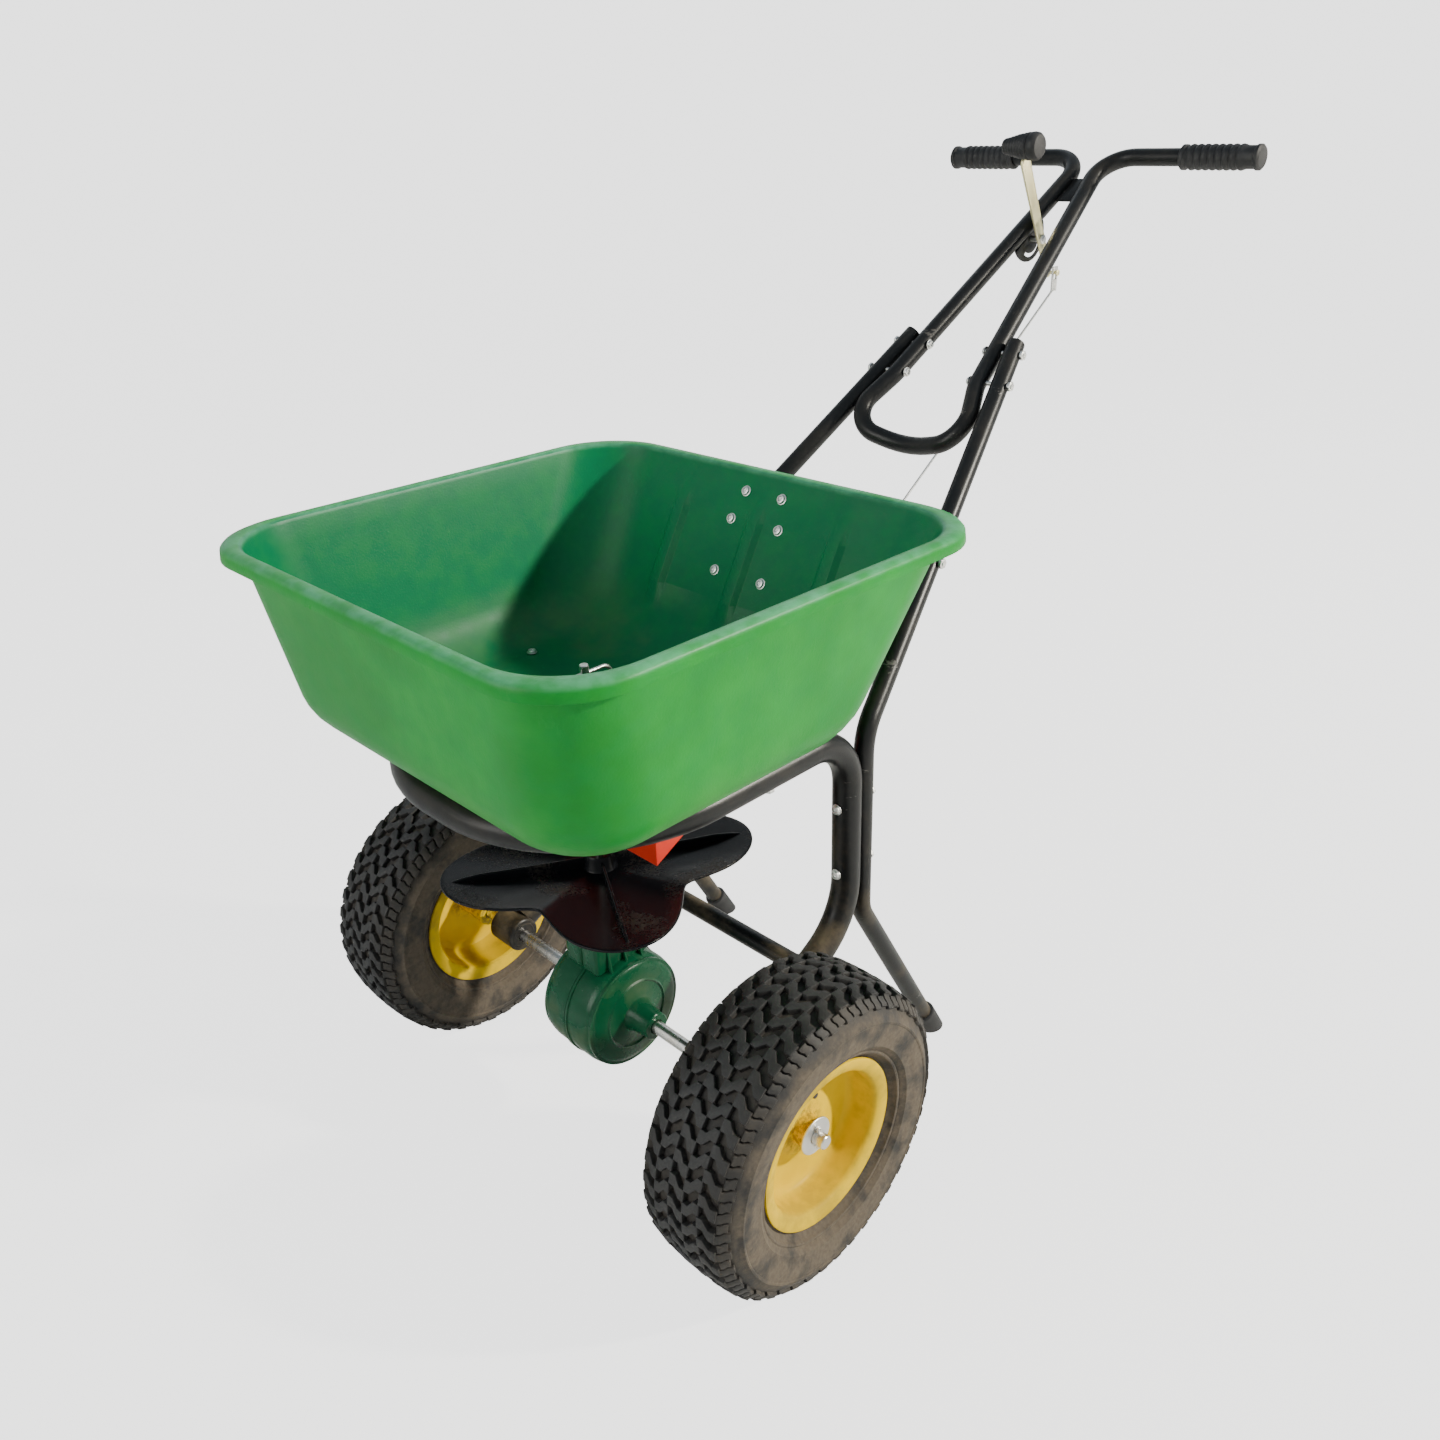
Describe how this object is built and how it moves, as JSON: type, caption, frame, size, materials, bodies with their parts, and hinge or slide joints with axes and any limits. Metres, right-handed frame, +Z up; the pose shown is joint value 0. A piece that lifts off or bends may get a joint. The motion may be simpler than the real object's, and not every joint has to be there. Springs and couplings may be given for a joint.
{
  "type": "broadcast spreader",
  "caption": "Walk-behind broadcast spreader: a tub over a spinning disc that a wheel drives, on pneumatic tyres, with a tube handle and a lever that opens the gate.",
  "frame": {"origin": "floor level, midway between the wheels and midway between the hopper's front edge and the back of the grips", "axes": "+Z up; +Y from the hopper back to the grips, so the machine is pushed towards -Y; +X to its right wheel seen from the front, which is the walker's left"},
  "size_m": [0.689, 1.205, 1.0591],
  "materials": {
    "hopper_green": "satin moulded polyethylene",
    "gearbox_green": "semi-gloss moulded",
    "frame_black": "satin black powder coat",
    "impeller_black": "gloss moulded",
    "grip_black": "soft vinyl",
    "rim_yellow": "gloss enamel",
    "tyre_rubber": "matt rubber",
    "bright_steel": "bright drawn",
    "zinc_plate": "zinc plated",
    "yellow_zinc": "yellow zinc plated",
    "chute_red": "semi-gloss moulded",
    "nylon": "plain nylon"
  },
  "bodies": {
    "stand": {"axle_bearing_left": "frame_black", "axle_bearing_right": "frame_black", "brace_bolt_left": "zinc_plate", "brace_bolt_right": "zinc_plate", "cross_tube": "frame_black", "drop_chute": "chute_red", "floor_bolt_left": "zinc_plate", "floor_bolt_right": "zinc_plate", "frame_bolt_left_lower": "zinc_plate", "frame_bolt_left_upper": "zinc_plate", "frame_bolt_right_lower": "zinc_plate", "frame_bolt_right_upper": "zinc_plate", "gate_guide": "frame_black", "gearbox_half_left": "gearbox_green", "gearbox_half_right": "gearbox_green", "gearbox_screw_front": "zinc_plate", "gearbox_screw_rear": "zinc_plate", "grip_left": "grip_black", "grip_right": "grip_black", "handle_bolt_left_lower": "zinc_plate", "handle_bolt_left_upper": "zinc_plate", "handle_bolt_right_lower": "zinc_plate", "handle_bolt_right_upper": "zinc_plate", "handle_gusset": "frame_black", "hopper": "hopper_green", "hopper_brace": "frame_black", "hopper_frame": "frame_black", "leg_foot_left": "grip_black", "leg_foot_right": "grip_black", "lever_bracket": "frame_black", "lever_pivot_bolt": "zinc_plate", "lower_handle_left": "frame_black", "lower_handle_right": "frame_black", "shaft_bush": "nylon", "upper_handle": "frame_black", "wall_bolt_left_bottom": "zinc_plate", "wall_bolt_left_middle": "zinc_plate", "wall_bolt_left_top": "zinc_plate", "wall_bolt_right_bottom": "zinc_plate", "wall_bolt_right_middle": "zinc_plate", "wall_bolt_right_top": "zinc_plate"},
    "drive_axle": {"axle": "bright_steel", "drive_gear": "nylon", "drive_pin": "zinc_plate", "cotter_pin": "zinc_plate", "hub_washer": "zinc_plate", "rim_left": "rim_yellow", "tyre_left": "tyre_rubber", "valve_stem_left": "frame_black"},
    "free_wheel": {"rim_right": "rim_yellow", "tyre_right": "tyre_rubber", "valve_stem_right": "frame_black"},
    "spinner": {"impeller": "impeller_black", "impeller_shaft": "bright_steel", "agitator": "zinc_plate", "pinion": "nylon"},
    "flow_lever": {"control_lever": "yellow_zinc", "lever_knob": "grip_black"},
    "gate": {"slide_gate": "zinc_plate", "control_rod": "zinc_plate"}
  },
  "joints": [
    {"name": "drive_wheel_spin", "type": "hinge", "parent": "stand", "child": "drive_axle", "pos_m": [0, -0.3485, 0.165], "axis": [1, 0, 0], "continuous": true},
    {"name": "free_wheel_spin", "type": "hinge", "parent": "stand", "child": "free_wheel", "pos_m": [0.283, -0.3485, 0.165], "axis": [1, 0, 0], "continuous": true},
    {"name": "impeller_spin", "type": "hinge", "parent": "stand", "child": "spinner", "pos_m": [0, -0.3485, 0.342], "axis": [0, 0, 1], "continuous": true},
    {"name": "flow_lever_swing", "type": "hinge", "parent": "stand", "child": "flow_lever", "pos_m": [-0.0112, 0.4815, 0.925], "axis": [-1, 0, 0], "range_deg": [0, 45]},
    {"name": "gate_slide", "type": "slide", "parent": "stand", "child": "gate", "axis": [0, -1, 0], "range_m": [0, 0.0382]}
  ],
  "couplings": [
    {"joint": "impeller_spin", "follows": "drive_wheel_spin", "ratio": -6},
    {"joint": "gate_slide", "follows": "flow_lever_swing", "m_per_rad": 0.0485}
  ]
}
